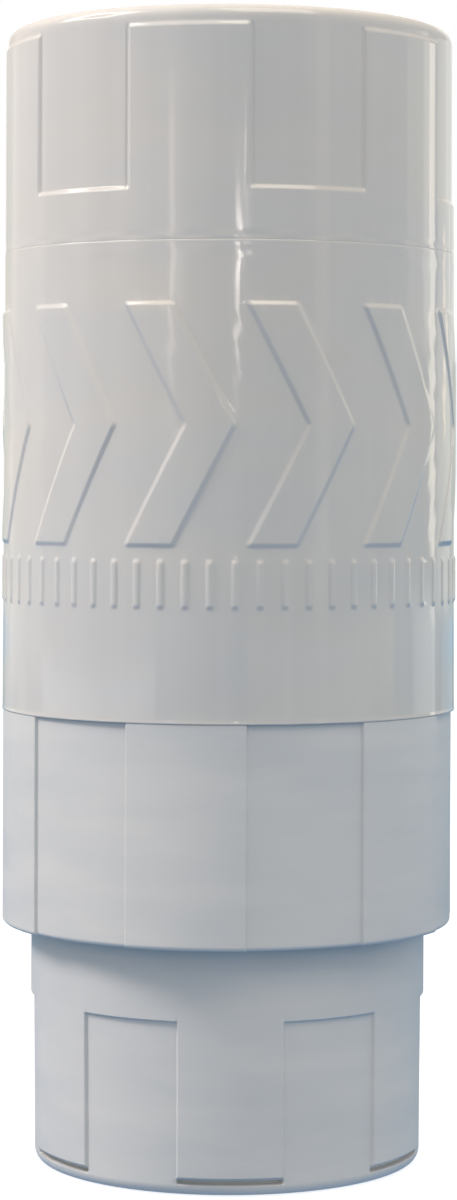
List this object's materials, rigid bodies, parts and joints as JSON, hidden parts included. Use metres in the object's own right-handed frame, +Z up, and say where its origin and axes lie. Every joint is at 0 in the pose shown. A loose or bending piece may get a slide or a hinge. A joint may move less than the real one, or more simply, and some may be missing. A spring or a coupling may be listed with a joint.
{
  "type": "padel ball pressurizer",
  "caption": "Screw-down tube that keeps padel balls under air pressure: a glossy sleeve with raised turning arrows and a matte grip collar over a threaded canister.",
  "frame": {"origin": "middle of the underside, on the surface that it stands on", "axes": "+Z up along the tube's axis, -Y the front as pictured, +X to the viewer's right"},
  "size_m": [0.094, 0.094, 0.232],
  "materials": {
    "gloss_shell": "glossy moulded, pale grey white",
    "matte_grip": "fine matte moulded, pale grey white",
    "canister_plastic": "satin moulded white",
    "liner_plastic": "smooth natural white",
    "acetal": "satin natural acetal",
    "seal_rubber": "black nitrile rubber",
    "cushion_foam": "closed-cell foam"
  },
  "bodies": {
    "canister": {"grip_base": "matte_grip", "canister_tube": "canister_plastic", "o_ring_lower": "seal_rubber", "o_ring_upper": "seal_rubber", "bottom_cushion": "cushion_foam"},
    "guide": {"guide_ring": "acetal"},
    "sleeve": {"top_cap": "gloss_shell", "outer_sleeve": "gloss_shell", "grip_collar": "matte_grip", "thread_nut": "acetal", "nut_retainer": "acetal", "pressure_liner": "liner_plastic", "top_cushion": "cushion_foam"}
  },
  "joints": [
    {"name": "sleeve_turn", "type": "hinge", "parent": "canister", "child": "guide", "pos_m": [0, 0, 0.1958], "axis": [0, 0, 1], "range_deg": [0, 2401]},
    {"name": "sleeve_rise", "type": "slide", "parent": "guide", "child": "sleeve", "axis": [0, 0, 1], "range_m": [0, 0.2]}
  ],
  "couplings": [
    {"joint": "sleeve_turn", "follows": "sleeve_rise", "rad_per_m": 209.44}
  ]
}
